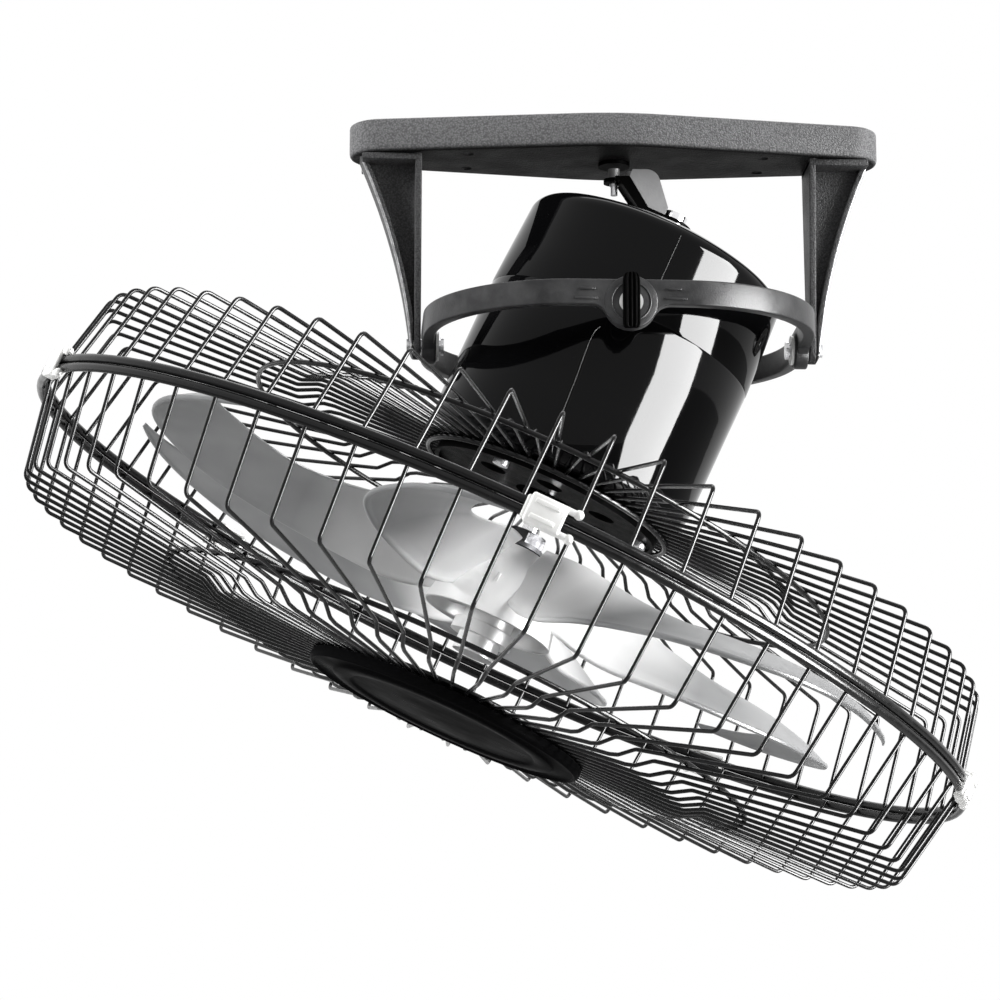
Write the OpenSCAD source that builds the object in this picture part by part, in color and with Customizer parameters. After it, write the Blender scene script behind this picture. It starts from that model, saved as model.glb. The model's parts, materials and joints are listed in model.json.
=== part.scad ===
// Orbital ceiling fan: a caged fan head on a two-axis gimbal under a ceiling bracket.
// A slow crank on top of the head walks the fan axis round a cone.
// Millimetres. The origin is on the ceiling, above the gimbal centre, with +Z up.

/* [Ceiling bracket] */
// Length of the ceiling plate
plate_length = 270; // [250:1:320]
// Depth of the ceiling plate at its middle
plate_depth = 71; // [64:1:90]
// Radius of the plate's round ends
plate_end_r = 17; // [14:0.5:22]
// Height of the plate's side wall
plate_height = 17; // [12:0.5:24]
// Thickness of the plate's floor and walls
plate_wall = 4; // [3:0.5:5]
// Distance between the ceiling bolts along the plate
bolt_spacing_x = 150; // [110:1:170]
// Distance between the ceiling bolts across the plate
bolt_spacing_y = 26; // [22:1:30]
// Diameter of the ceiling bolt holes
bolt_hole_d = 5.5; // [4.5:0.1:7]
// Drop from the ceiling to the gimbal centre
gimbal_drop = 114; // [112:1:140]
// Thickness of each leg at its pivot
leg_tip_t = 7; // [6:0.5:9]
// Extra reach of each leg's outer edge at the plate
leg_flare = 20.5; // [12:0.5:26]
// Width of the leg's inner flange at the plate
leg_depth = 30; // [22:1:36]
// Radius of the leg's round tip
leg_tip_r = 7; // [6.5:0.5:9]
// Thickness of the leg's web
leg_web_t = 5; // [4:0.5:7]

/* [Gimbal ring] */
// Outer radius of the gimbal ring
ring_r = 97.7; // [94:0.1:104]
// Radial thickness of the gimbal ring
ring_t = 6; // [5:0.5:8]
// Height of the ring's band
ring_h = 12.5; // [10:0.5:14]
// Height of the band's middle above the pivot axes
ring_lift = 5; // [3:0.5:6]
// Radius of the round lobe about each pivot
lobe_r = 13; // [11:0.5:14]
// Outer radius of the white pivot bushes
bush_r = 5.8; // [5.4:0.1:6.4]
// Radius of the pivot pins
pin_r = 3.5; // [3:0.1:4]

/* [Head] */
// Tilt of the fan axis from the vertical
orbit_tilt = 24.5; // [15:0.5:26]
// Radius of the motor housing
housing_r = 68; // [64:0.5:72]
// Wall of the motor housing and of its cover
housing_wall = 2.5; // [2:0.1:3]
// Height of the cover's top above the gimbal centre
dome_top = 69.5; // [66:0.5:72]
// Height of the joint between the housing and its cover
split_z = 8; // [8:0.5:14]
// Distance from the gimbal centre down to the plane of the rim
rim_drop = 142; // [136:1:160]

/* [Guards] */
// Radius of the guard's rim wire
rim_r = 250; // [240:1:270]
// Diameter of each rim wire
rim_wire_d = 4.4; // [3.6:0.2:5]
// Diameter of the guard wires
wire_d = 2; // [1.6:0.1:2.4]
// Number of wires in each guard
wire_count = 60; // [40:4:72]
// Radius of the guard at its corner
corner_r = 237.5; // [228:0.5:240]
// Depth of each guard at its corner
corner_depth = 48; // [42:1:56]
// Radius of the guard's middle ring
mid_r = 156; // [146:1:166]
// Depth of each guard at its hub
hub_depth = 60; // [58:0.5:62]
// Radius of the front cap
cap_r = 73; // [66:1:80]

/* [Fan] */
// Number of blades
blade_count = 6; // [3:1:6]
// Radius of the blade tips
blade_r = 205; // [190:1:212]
// Thickness of the blades
blade_t = 2.2; // [1.8:0.1:3]
// Radius of the fan's hub
hub_r = 19; // [17:0.5:22]
// Radius of the motor shaft
shaft_r = 4.5; // [4:0.1:5]

/* [Hidden] */
$fn = 64;

seat = 0.1;          // gap between pieces of one body that rest on each other
run = 0.05;          // radial gap of a running fit
clear = 0.7;         // gap between pieces that pass each other

function arc(cx, cy, r, a0, a1, n) =
    [for (i = [0:n]) [cx + r * cos(a0 + (a1 - a0) * i / n), cy + r * sin(a0 + (a1 - a0) * i / n)]];
// Point at parameter t on a smooth curve through the rows of p
function blend(a, b, c, d, t) =
    b + 0.5 * t * (c - a + t * (2 * a - 5 * b + 4 * c - d + t * (3 * (b - c) + d - a)));
function curve_at(p, t) =
    let (last = len(p) - 1, i = min(floor(t * last), last - 1), f = t * last - i)
    blend(p[max(i - 1, 0)], p[i], p[i + 1], p[min(i + 2, last)], f);

// Places a shape in the frame of the gimbal centre, still upright
module at_gimbal() {
    translate([0, 0, -gimbal_drop]) children();
}

// Places a shape in the frame of the tilted head: +Z points up the fan axis
module at_head() {
    at_gimbal() rotate([0, orbit_tilt, 0]) children();
}

module tube(r_out, r_in, z0, z1) {
    translate([0, 0, z0]) difference() {
        cylinder(r = r_out, h = z1 - z0);
        translate([0, 0, -1]) cylinder(r = r_in, h = z1 - z0 + 2);
    }
}

module rod(r, z0, z1) {
    translate([0, 0, z0]) cylinder(r = r, h = z1 - z0);
}

// ---- ceiling bracket ----

end_x = plate_length / 2 - plate_end_r;
// Slope of the straight sides, from the middle to the round ends
side_angle = atan2(plate_depth / 2, end_x) - asin(plate_end_r / norm([end_x, plate_depth / 2]));

// Outline of the plate, drawn in by the amount inset
module plate_outline(inset) {
    r = plate_end_r - inset;
    apex = plate_depth / 2 - inset / cos(side_angle);
    polygon(concat(
        arc(end_x, 0, r, side_angle - 90, 90 - side_angle, 16),
        [[0, apex]],
        arc(-end_x, 0, r, 90 + side_angle, 270 - side_angle, 16),
        [[0, -apex]]));
}

bolt_boss_r = bolt_hole_d / 2 + 3.5;
rib_t = 3;
rib_step = 44;

module bolt_places() {
    for (x = [-1, 1], y = [-1, 1])
        translate([x * bolt_spacing_x / 2, y * bolt_spacing_y / 2, 0]) children();
}

module ceiling_plate() {
    color("#2e2e2e") difference() {
        union() {
            translate([0, 0, -plate_height]) linear_extrude(plate_wall) plate_outline(0);
            translate([0, 0, -plate_height]) linear_extrude(plate_height) difference() {
                plate_outline(0);
                plate_outline(plate_wall);
            }
            // Ribs that carry the floor between the walls
            translate([0, 0, -plate_height]) linear_extrude(plate_height) intersection() {
                plate_outline(plate_wall / 2);
                union() {
                    square([plate_length, rib_t], center = true);
                    for (i = [-2:2])
                        translate([i * rib_step, 0]) square([rib_t, plate_depth], center = true);
                }
            }
            bolt_places() rod(bolt_boss_r, -plate_height, 0);
        }
        bolt_places() rod(bolt_hole_d / 2, -plate_height - 1, 1);
    }
}

leg_x = ring_r + clear;              // inner face of the leg
leg_h = gimbal_drop - plate_height;  // pivot axis up to the plate's underside
leg_out = leg_x + leg_tip_t;         // outer face at the pivot
// Radius of the arc that carries the outer edge from the pivot out to the plate
leg_arc_r = (leg_flare * leg_flare + leg_h * leg_h) / (2 * leg_flare);
leg_arc_a = asin(leg_h / leg_arc_r);
leg_flange_t = 3.5;

// Band of the leg seen from the front, between its inner face and the curve at offset t inside the outer edge
module leg_profile(x_in, t) {
    polygon(concat(
        [[x_in, leg_h - seat], [x_in, -leg_tip_r]],
        [[leg_out - t, -leg_tip_r]],
        [for (i = [0:12]) let (a = leg_arc_a * i / 12)
            [leg_out - t + leg_arc_r * (1 - cos(a)), min(leg_arc_r * sin(a), leg_h - seat)]]));
}

// The leg seen from the side: a taper that ends round about the pivot
module leg_side() {
    flank = atan2(leg_depth / 2 - leg_tip_r, leg_h);
    polygon(concat(
        arc(0, 0, leg_tip_r, 180 + flank, 360 - flank, 16),
        [[leg_depth / 2, leg_h], [-leg_depth / 2, leg_h]]));
}

module leg_slab(w) {
    rotate([90, 0, 0]) translate([0, 0, -w / 2]) linear_extrude(w) children();
}

module leg() {
    at_gimbal() difference() {
        intersection() {
            rotate([90, 0, 90]) linear_extrude(leg_out + leg_flare + 5) leg_side();
            union() {
                leg_slab(leg_web_t) leg_profile(leg_x, 0);
                // Inner flange, the full width of the side view
                leg_slab(leg_depth + 2) polygon([
                    [leg_x, -leg_tip_r - 1], [leg_x + leg_flange_t, -leg_tip_r - 1],
                    [leg_x + leg_flange_t, leg_h - seat], [leg_x, leg_h - seat]]);
                // Bead along the curved outer edge
                leg_slab(leg_depth * 0.55) difference() {
                    leg_profile(leg_x, 0);
                    leg_profile(leg_x - 1, leg_flange_t);
                }
                // Boss about the pivot
                translate([leg_x, 0, 0]) rotate([0, 90, 0]) cylinder(r = leg_tip_r, h = leg_tip_t);
                // Foot that bolts up to the plate
                translate([leg_x, -leg_depth / 2, leg_h - seat - leg_flange_t])
                    cube([leg_tip_t + leg_flare - 1, leg_depth, leg_flange_t]);
            }
        }
        translate([leg_x - 1, 0, 0]) rotate([0, 90, 0]) cylinder(r = pin_r, h = leg_tip_t + leg_flare);
    }
}

module leg_right() {
    color("#3a3a3a") leg();
}

module leg_left() {
    color("#3a3a3a") mirror([1, 0, 0]) leg();
}

socket_r = 8;
socket_h = 2;

module orbit_socket() {
    color("#8c8c8c") translate([0, 0, -plate_height - seat - socket_h]) cylinder(r = socket_r, h = socket_h);
}

pin_inner_x = ring_r - ring_t - 3.5;
pin_head_r = 4.6;

module pivot_pin_right() {
    color("#c8c8c8") at_gimbal() rotate([0, 90, 0]) union() {
        rod(pin_r - run, pin_inner_x, leg_out);
        rod(pin_head_r, pin_inner_x - 1.5, pin_inner_x);
    }
}

module pivot_pin_left() {
    mirror([1, 0, 0]) pivot_pin_right();
}

// ---- gimbal ring ----

lobe_in = ring_r - ring_t - 1;
side_lobe_r = 9.5;
front_face = ring_r + 0.5;

module gimbal_ring() {
    color("#404040") at_gimbal() difference() {
        union() {
            tube(ring_r, ring_r - ring_t, ring_lift - ring_h / 2, ring_lift + ring_h / 2);
            // Lobes that hang below the band about the head's pivots
            for (s = [-1, 1])
                rotate([s * 90, 0, 0]) rod(lobe_r, lobe_in, front_face);
            // Smaller lobes about the leg pivots, cut round inside
            intersection() {
                for (s = [-1, 1]) rotate([0, s * 90, 0]) rod(side_lobe_r, lobe_in, ring_r + 1);
                rod(ring_r, -lobe_r, lobe_r);
            }
        }
        for (s = [-1, 1]) {
            rotate([s * 90, 0, 0]) rod(bush_r, lobe_in - 1, front_face + 1);
            rotate([0, s * 90, 0]) rod(bush_r, lobe_in - 1, ring_r + 1);
        }
    }
}

// A flanged nylon bush in the ring, along +Z before it is turned
module bush(face) {
    difference() {
        union() {
            rod(bush_r - 0.02, lobe_in - 1, face);
            rod(bush_r + 1.6, lobe_in - 1.5, lobe_in - 0.05);
        }
        rod(pin_r, lobe_in - 3, face + 1);
    }
}

module bush_front() {
    color("#f2f2f0") at_gimbal() rotate([90, 0, 0]) bush(front_face);
}

module bush_back() {
    color("#f2f2f0") at_gimbal() rotate([-90, 0, 0]) bush(front_face);
}

module bush_right() {
    color("#f2f2f0") at_gimbal() rotate([0, 90, 0]) bush(ring_r - 0.3);
}

module bush_left() {
    color("#f2f2f0") at_gimbal() rotate([0, -90, 0]) bush(ring_r - 0.3);
}

bar_w = 8.2;
bar_t = 4;
bar_h = 2 * lobe_r;

// Ribbed bar that closes the mouth of the head's pivot, standing on the lobe's face
module pivot_bar() {
    at_gimbal() translate([0, -front_face - seat, 0]) rotate([90, 0, 0]) linear_extrude(bar_t) union() {
        square([bar_w, bar_h], center = true);
        translate([0, bar_h / 2]) circle(r = bar_w / 2);
    }
    at_gimbal() for (i = [-1:1])
        translate([i * bar_w / 3.2, -front_face - bar_t - 0.5, 0]) cube([1, 1.6, bar_h], center = true);
}

module pivot_bar_front() {
    color("#1a1a1a") pivot_bar();
}

module pivot_bar_back() {
    color("#1a1a1a") mirror([0, 1, 0]) pivot_bar();
}

// ---- head ----

face_z = -rim_drop + hub_depth + wire_d / 2 + seat;   // the housing's front end
skirt_z = face_z + 26;                                // where the front end starts to draw in
face_r = housing_r - 6;
cover_r = housing_r - 1;
crown_r = 180;                                        // radius of the cover's slightly domed top
shoulder_r = 20;                                      // radius between the cover's top and side
side_r = cover_r - 3.5;                               // the cover's radius where the shoulder starts
// Height of the shoulder's centre, and the bearing at which it meets the crown
shoulder_z = dome_top - crown_r + sqrt(pow(crown_r - shoulder_r, 2) - pow(side_r - shoulder_r, 2));
shoulder_a = acos((side_r - shoulder_r) / (crown_r - shoulder_r));
lug_r = 7;

// Outer outline of the cover from the joint to the top, inset by t
function cover_outline(t) = concat(
    [[cover_r - t, split_z]],
    arc(side_r - shoulder_r, shoulder_z, shoulder_r - t, 0, shoulder_a, 8),
    arc(0, dome_top - crown_r, crown_r - t, shoulder_a + 4, 90, 4));

function housing_outline(t) = concat(
    [[face_r - t, face_z]],
    [for (i = [1:6]) let (a = 15 * i)
        [face_r - t + (housing_r - face_r) * sin(a), skirt_z - (skirt_z - face_z) * cos(a)]],
    [[cover_r - t, split_z - seat]]);

lug_len = lobe_in - 2 - housing_r;

module motor_housing() {
    color("#101010") at_head() {
        rotate_extrude() polygon(concat(
            housing_outline(0),
            [for (i = [len(housing_outline(0)) - 1:-1:0]) housing_outline(housing_wall)[i]]));
        // End wall behind the guard plate
        tube(face_r - housing_wall / 2, 24, face_z, face_z + housing_wall);
        // Trunnions on the head's tilt axis
        for (s = [-1, 1]) rotate([s * 90, 0, 0]) {
            rod(lug_r, cover_r - housing_wall + 0.5, lobe_in - 2);
            rod(pin_r - run, lobe_in - 3, front_face - 0.4);
        }
    }
}

module rear_cover() {
    color("#0c0c0c") at_head() difference() {
        rotate_extrude() polygon(concat(
            cover_outline(0),
            [for (i = [len(cover_outline(0)) - 1:-1:0]) cover_outline(housing_wall)[i]]));
        rod(output_r + 1, dome_top - 10, dome_top + 1);
    }
}

output_r = 4;
bore_r = housing_r - housing_wall - 2.6;   // radius of what fits inside the housing
bearing_r = 11;
bearing_h = 7;
bell_front_z = face_z + housing_wall + seat;
bell_t = 9;
stator_z0 = bell_front_z + bell_t + 14;
stator_h = 24;
bell_rear_z = stator_z0 + stator_h + 14;

// Round plate with ribs round a bearing seat
module bell(r, z0, z1, seat_z) {
    difference() {
        union() {
            tube(r, bearing_r + 4, z0, z0 + 3);
            tube(r, r - 4, z0, z1);
            tube(bearing_r + 5, shaft_r + 3, seat_z - 2, seat_z + bearing_h);
            for (i = [0:5]) rotate([0, 0, 60 * i])
                translate([bearing_r + 4, -1.5, z0]) cube([r - bearing_r - 6, 3, z1 - z0 - 1]);
        }
        rod(bearing_r, seat_z, z1 + 30);
    }
}

module bell_front() {
    color("#9a9a9a") at_head() 
        bell(face_r - housing_wall - 0.6, bell_front_z, bell_front_z + bell_t, bell_front_z + 2);
}

module bell_rear() {
    color("#9a9a9a") at_head() translate([0, 0, bell_rear_z + bell_t]) mirror([0, 0, 1])
        bell(bore_r, 0, bell_t, 2);
}

module bearing(z0) {
    difference() {
        rod(bearing_r - 0.02, z0 + 0.05, z0 + bearing_h);
        rod(shaft_r + run, z0 - 1, z0 + bearing_h + 1);
    }
}

module bearing_front() {
    color("#b8b8b8") at_head() bearing(bell_front_z + 2);
}

module bearing_rear() {
    color("#b8b8b8") at_head() bearing(bell_rear_z + bell_t - 2 - bearing_h - 0.05);
}

stator_bore = 27;
slot_count = 16;

module stator() {
    color("#777777") at_head() difference() {
        tube(bore_r, stator_bore, stator_z0, stator_z0 + stator_h);
        // Winding slots
        for (i = [0:slot_count - 1]) rotate([0, 0, 360 * (i + 0.5) / slot_count])
            translate([stator_bore + 5, -2, stator_z0 - 1]) cube([14, 4, stator_h + 2]);
    }
}

winding_r = stator_bore + 12;

// End turns of the windings, a rounded ring on each face of the stator
module windings() {
    color("#a5562a") at_head()
        for (z = [stator_z0 - 5.5 - seat, stator_z0 + stator_h + 5.5 + seat])
            translate([0, 0, z]) rotate_extrude() translate([winding_r, 0]) scale([1, 0.79]) circle(r = 7);
}

gear_z = dome_top - 33;
gear_r = side_r - housing_wall - 0.6;
orbit_r = 25;
orbit_h = 20;

module gear_plate() {
    color("#8a8a8a") at_head() difference() {
        union() {
            rod(gear_r, gear_z, gear_z + 3);
            tube(gear_r, gear_r - 3, split_z + 3, gear_z + 1);
        }
        rod(output_r + 2, gear_z - 1, gear_z + 4);
    }
}

module orbit_motor() {
    color("#b0b0b0") at_head() difference() {
        union() {
            rod(orbit_r, gear_z + 3 + seat, gear_z + 3 + orbit_h);
            rod(output_r + 4, gear_z + 3, gear_z + orbit_h + 6);
        }
        rod(output_r + run, gear_z + 8, gear_z + 40);
    }
}

module capacitor() {
    color("#d8d8d8") at_head() translate([34, 0, 0]) rod(14, gear_z - 24, gear_z - seat);
}

plate_z = -rim_drop + hub_depth - wire_d / 2 - seat;
plate_t = 2.5;
plate_r = 60;
screw_ring_r = 52;

module guard_plate() {
    color("#151515") at_head() difference() {
        union() {
            tube(plate_r, 16, plate_z - plate_t, plate_z);
            // Rolled lip, and a step that bears on the housing inside the wires
            tube(plate_r, plate_r - 2, plate_z - plate_t - 1.5, plate_z - 1);
            tube(48, 16, plate_z - 1, face_z - seat);
        }
        // Cooling slots
        for (i = [0:5]) rotate([0, 0, 60 * i + 30])
            translate([34, 0, 0]) rod(7, plate_z - 10, face_z + 1);
        for (i = [0:2]) rotate([0, 0, 120 * i])
            translate([screw_ring_r, 0, 0]) rod(2, plate_z - 10, face_z + 1);
    }
}

module plate_screws() {
    color("#b4b4b4") at_head() for (i = [0:2]) rotate([0, 0, 120 * i]) translate([screw_ring_r, 0, 0]) {
        rod(4, plate_z - plate_t - 3, plate_z - plate_t - seat);
        rod(1.95, plate_z - plate_t - 1, face_z - seat);
    }
}

// ---- guards ----

step_in = mid_r - 29;     // radius where the outward step ends
step_out = mid_r - 19.5;  // radius where it starts
wire_in = plate_r - 4;    // inner end of the wires
rim_gap = rim_wire_d / 2 + 0.1;

// A wire's middle line from rim to hub, as [radius, height above the rim's plane]
wire_line = [
    [rim_r - rim_wire_d / 2 - wire_d / 2 - seat, 1.2],
    [corner_r + 1.2, corner_depth - 5],
    [corner_r - 0.6, corner_depth - 1.2],
    [corner_r - 5, corner_depth],
    [step_out, corner_depth + 6.4],
    [step_in, hub_depth - 0.8],
    [step_in - 6, hub_depth],
    [wire_in, hub_depth]];

wire_sides = 5;
wire_turn = 0.8;

function unit(v) = v / norm(v);
// Direction of a line's middle at point i, halving the bend there
function heading(p, i) = let (last = len(p) - 1)
    i == 0 ? unit(p[1] - p[0]) :
    i == last ? unit(p[last] - p[last - 1]) :
    unit(unit(p[i] - p[i - 1]) + unit(p[i + 1] - p[i]));

// One bent wire in the XZ plane
module wire() {
    last = len(wire_line) - 1;
    points = [for (i = [0:last], k = [0:wire_sides - 1])
        let (d = heading(wire_line, i), a = 360 * k / wire_sides, c = wire_d / 2 * cos(a))
        [wire_line[i][0] + c * d[1], wire_d / 2 * sin(a), wire_line[i][1] - c * d[0]]];
    sides = [for (i = [0:last - 1], k = [0:wire_sides - 1])
        let (a = i * wire_sides + k, b = i * wire_sides + (k + 1) % wire_sides)
        [a, b, b + wire_sides, a + wire_sides]];
    ends = [
        [for (k = [wire_sides - 1:-1:0]) k],
        [for (k = [0:wire_sides - 1]) last * wire_sides + k]];
    polyhedron(points, concat(sides, ends), convexity = 6);
}

module wires() {
    for (i = [0:wire_count - 1]) rotate([0, 0, 360 * i / wire_count - wire_turn]) wire();
}

module wire_ring(r, d, z) {
    translate([0, 0, z]) rotate_extrude() translate([r, 0]) circle(d = d, $fn = 24);
}

// Rim wire, middle ring and inner ring of one guard, above the rim's plane
module guard_rings() {
    mid_wire = 2.6;
    wire_ring(rim_r, rim_wire_d, rim_gap);
    wire_ring(mid_r, mid_wire, corner_depth + 5.1 - wire_d / 2 - mid_wire / 2);
    wire_ring(plate_r + 5, mid_wire, hub_depth - wire_d / 2 - mid_wire / 2 - seat);
}

module at_rim() {
    at_head() translate([0, 0, -rim_drop]) children();
}

module rear_guard_wires() {
    color("#262626") at_rim() wires();
}

module rear_guard_rings() {
    color("#1e1e1e") at_rim() guard_rings();
}

module front_guard_wires() {
    color("#262626") at_rim() mirror([0, 0, 1]) wires();
}

module front_guard_rings() {
    color("#1e1e1e") at_rim() mirror([0, 0, 1]) guard_rings();
}

cap_z = -hub_depth - wire_d / 2 - seat;
cap_t = 2.2;

// Dished cap with a rolled lip, and a disc behind the wires that it clamps to
module front_cap() {
    color("#0e0e0e") at_rim() {
        rotate_extrude() polygon([
            [0, cap_z - 1.5], [cap_r - 16, cap_z - 1.5], [cap_r - 8, cap_z - 0.2], [cap_r, cap_z],
            [cap_r, cap_z - cap_t - 2.2], [cap_r - 2, cap_z - cap_t - 3.4],
            [cap_r - 5, cap_z - cap_t - 2.2], [cap_r - 12, cap_z - cap_t - 2.4],
            [cap_r - 22, cap_z - cap_t - 4], [0, cap_z - cap_t - 4.6]]);
        rod(wire_in - 1, cap_z - 2, cap_z + 2 * wire_d);
        rod(wire_in + 3, -hub_depth + wire_d / 2 + seat, -hub_depth + wire_d / 2 + 3);
    }
}

clip_angles = [88, 160, 232, 304, 16];
clip_w = 20;

// Nylon clip that grips both rim wires from outside, at the given bearing
module rim_clip(i) {
    outer = rim_r + rim_wire_d / 2 + 3;
    lip = rim_r - 0.8;
    half = rim_gap + rim_wire_d / 2 + 2.6;
    arc_a = clip_w / rim_r * 90 / PI;
    color("#f4f4f2") at_rim() rotate([0, 0, -clip_angles[i]]) rotate([0, 0, -arc_a])
        rotate_extrude(angle = 2 * arc_a) difference() {
            translate([lip, -half]) square([outer - lip, 2 * half]);
            // Grooves for the two wires, open to the inside
            for (s = [-1, 1]) {
                translate([rim_r, s * rim_gap]) circle(r = rim_wire_d / 2 + seat, $fn = 24);
                translate([rim_r - 5, s * rim_gap - rim_wire_d / 2 - seat])
                    square([5, rim_wire_d + 2 * seat]);
            }
        }
}

module rim_clip_1() {
    rim_clip(0);
}

module rim_clip_2() {
    rim_clip(1);
}

module rim_clip_3() {
    rim_clip(2);
}

module rim_clip_4() {
    rim_clip(3);
}

module rim_clip_5() {
    rim_clip(4);
}

// ---- rotor ----

hub_top = -rim_drop + 35;
hub_bottom = -rim_drop - 16;
shaft_bottom = hub_bottom - 14;

module motor_shaft() {
    color("#dcdcdc") at_head() rod(shaft_r, shaft_bottom, bell_rear_z + bell_t + 3);
}

module rotor_core() {
    color("#9c9c9c") at_head() tube(stator_bore - 0.5, shaft_r + 0.05, stator_z0, stator_z0 + stator_h);
}

// The two long edges of a blade, from its hooked tip in to the hub:
// [share of the tip radius, bearing in degrees, height above the rim's plane]
outer_edge = [
    [0.993, 1, 9], [1.000, 13, 6.5], [1.000, 25, 4.5], [0.966, 35, 1.5], [0.878, 43, -2],
    [0.756, 51, -5.5], [0.624, 56, -8], [0.478, 60, -10], [0.322, 63, -12], [0.180, 70, -13],
    [0.073, 84, -13]];
inner_edge = [
    [0.986, 0, 11], [0.971, 9, 12], [0.937, 17, 13], [0.878, 23, 14], [0.800, 27.5, 14.5],
    [0.707, 32, 14], [0.595, 35.5, 13], [0.468, 37, 13.5], [0.332, 37, 15], [0.190, 36, 20],
    [0.073, 30, 26]];
blade_steps = 20;
tip_bearing = 7;

function edge_point(edge, t) = let (p = curve_at(edge, t))
    [blade_r * p[0] * cos(p[1]), -blade_r * p[0] * sin(p[1]), p[2]];

// One crescent blade, lofted between its two edges with a slight camber
module blade() {
    sections = [for (i = [0:blade_steps])
        let (p = edge_point(outer_edge, i / blade_steps), q = edge_point(inner_edge, i / blade_steps),
             m = (p + q) / 2 + [0, 0, 0.06 * norm(p - q)], h = [0, 0, blade_t / 2])
        [p + h, m + h, q + h, q - h, m - h, p - h]];
    n = 6;
    points = [for (s = sections) each s];
    sides = [for (i = [0:blade_steps - 1], k = [0:n - 1])
        let (a = i * n + k, b = i * n + (k + 1) % n)
        each [[a, a + n, b + n], [a, b + n, b]]];
    last = blade_steps * n;
    ends = [[0, 1, 4], [0, 4, 5], [1, 2, 3], [1, 3, 4],
        [last, last + 4, last + 1], [last, last + 5, last + 4],
        [last + 1, last + 3, last + 2], [last + 1, last + 4, last + 3]];
    polyhedron(points, concat(sides, ends), convexity = 8);
}

module fan_impeller() {
    color("#c9cacc") at_head() difference() {
        union() {
            translate([0, 0, -rim_drop]) for (i = [0:blade_count - 1])
                rotate([0, 0, -360 * i / blade_count - tip_bearing]) blade();
            rod(hub_r, hub_bottom, hub_top - 8);
            rod(hub_r - 7, hub_top - 9, hub_top);
        }
        rod(shaft_r + 0.03, hub_bottom - 1, hub_top + 1);
        // Hollow front of the hub
        difference() {
            rod(hub_r - 2.5, hub_bottom - 1, hub_bottom + 14);
            rod(shaft_r + 3, hub_bottom - 2, hub_bottom + 15);
        }
    }
}

module blade_nut() {
    color("#cfcfcf") at_head() difference() {
        union() {
            rod(hub_r - 3, hub_bottom - 6 - seat, hub_bottom - seat);
            rod(hub_r - 8, shaft_bottom - 1, hub_bottom - 5);
        }
        rod(shaft_r + 0.03, shaft_bottom - 0.03, hub_bottom + 1);
    }
}

// ---- crank ----

crank_z = dome_top + 0.8;           // underside of the crank's foot, up the fan axis
crank_t = 2.1;
crank_w = 16;
crank_reach = leg_h - socket_h - seat - clear;   // nothing on the crank lies further out than this
top_z = crank_reach - 8;            // underside of the upper flange, above the gimbal centre
strap_x = 7.4;                      // far edge of the strap where it meets the upper flange
strap_t = 5;
foot_u = -19.5;                     // where the strap's outer edge meets the foot
crank_bolt_r = 1.8;

// Height and reach of a point of the tilted head, seen from the front: u across, w up the fan axis
function head_xz(u, w) = [
    u * cos(orbit_tilt) + w * sin(orbit_tilt),
    w * cos(orbit_tilt) - u * sin(orbit_tilt)];

module output_shaft() {
    color("#cccccc") at_head() rod(output_r, gear_z + 9, crank_z + crank_t + 1);
}

// Bent strap: a foot square to the fan axis, a slanted stretch and a flange square to the vertical
module crank_arm() {
    color("#1c1c1c") difference() {
        union() {
            at_head() translate([0, 0, crank_z]) linear_extrude(crank_t) union() {
                circle(r = 10);
                translate([foot_u, -crank_w / 2]) square([-foot_u, crank_w]);
            }
            at_gimbal() {
                translate([0, 0, top_z]) linear_extrude(crank_t) union() {
                    circle(r = 5.3);
                    translate([0, -crank_w / 2]) square([strap_x, crank_w]);
                }
                leg_slab(crank_w) polygon([
                    [strap_x, top_z + crank_t], [strap_x - strap_t, top_z + crank_t],
                    [strap_x - strap_t, top_z], head_xz(foot_u, crank_z),
                    head_xz(foot_u + strap_t - 0.5, crank_z), head_xz(foot_u + strap_t - 0.5, crank_z + crank_t)]);
            }
        }
        at_gimbal() rod(crank_bolt_r, top_z - 10, top_z + 10);
        at_head() rod(output_r + 0.03, crank_z - 5, crank_z + 20);
    }
}

// Zinc plate that stiffens the strap on its near side, with a rolled edge
module crank_cheek() {
    corner = 17.5;
    top = sqrt(pow(crank_reach, 2) - pow(corner, 2) - pow(crank_w / 2, 2)) - 0.3;
    w = crank_z + crank_t + seat;
    color("#9b9c9e") at_gimbal() {
        translate([0, -crank_w / 2 + 1, 0]) leg_slab(2) polygon(concat(
            [[strap_x + seat, top_z + crank_t], [strap_x + 1.5, top]],
            arc(corner - 1.5, top - 7, 7, 90, 20, 8),
            [head_xz(-5.3, w + 4), head_xz(-5.3, w), head_xz(foot_u + strap_t, w)]));
        translate([strap_x + 0.6, -crank_w / 2 + 2.4, top_z + crank_t + seat])
            cylinder(r = 1.9, h = top - top_z - crank_t - 1);
    }
}

module crank_bolt() {
    color("#6a6a6a") at_gimbal() {
        rod(crank_bolt_r - 0.02, top_z - 6.2, crank_reach - 0.5);
        rod(crank_bolt_r + 0.5, top_z - 1.4, top_z - seat);
    }
}

module crank_bush() {
    color("#b9babc") at_gimbal() tube(3, crank_bolt_r + 0.03, top_z + crank_t + seat, crank_reach - 0.5);
}

module crank_nut() {
    color("#a8a8a8") at_head() difference() {
        rod(6, crank_z + crank_t + seat, crank_z + crank_t + 4.5);
        rod(output_r + 0.05, crank_z, crank_z + crank_t + 1.2);
    }
}

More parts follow.
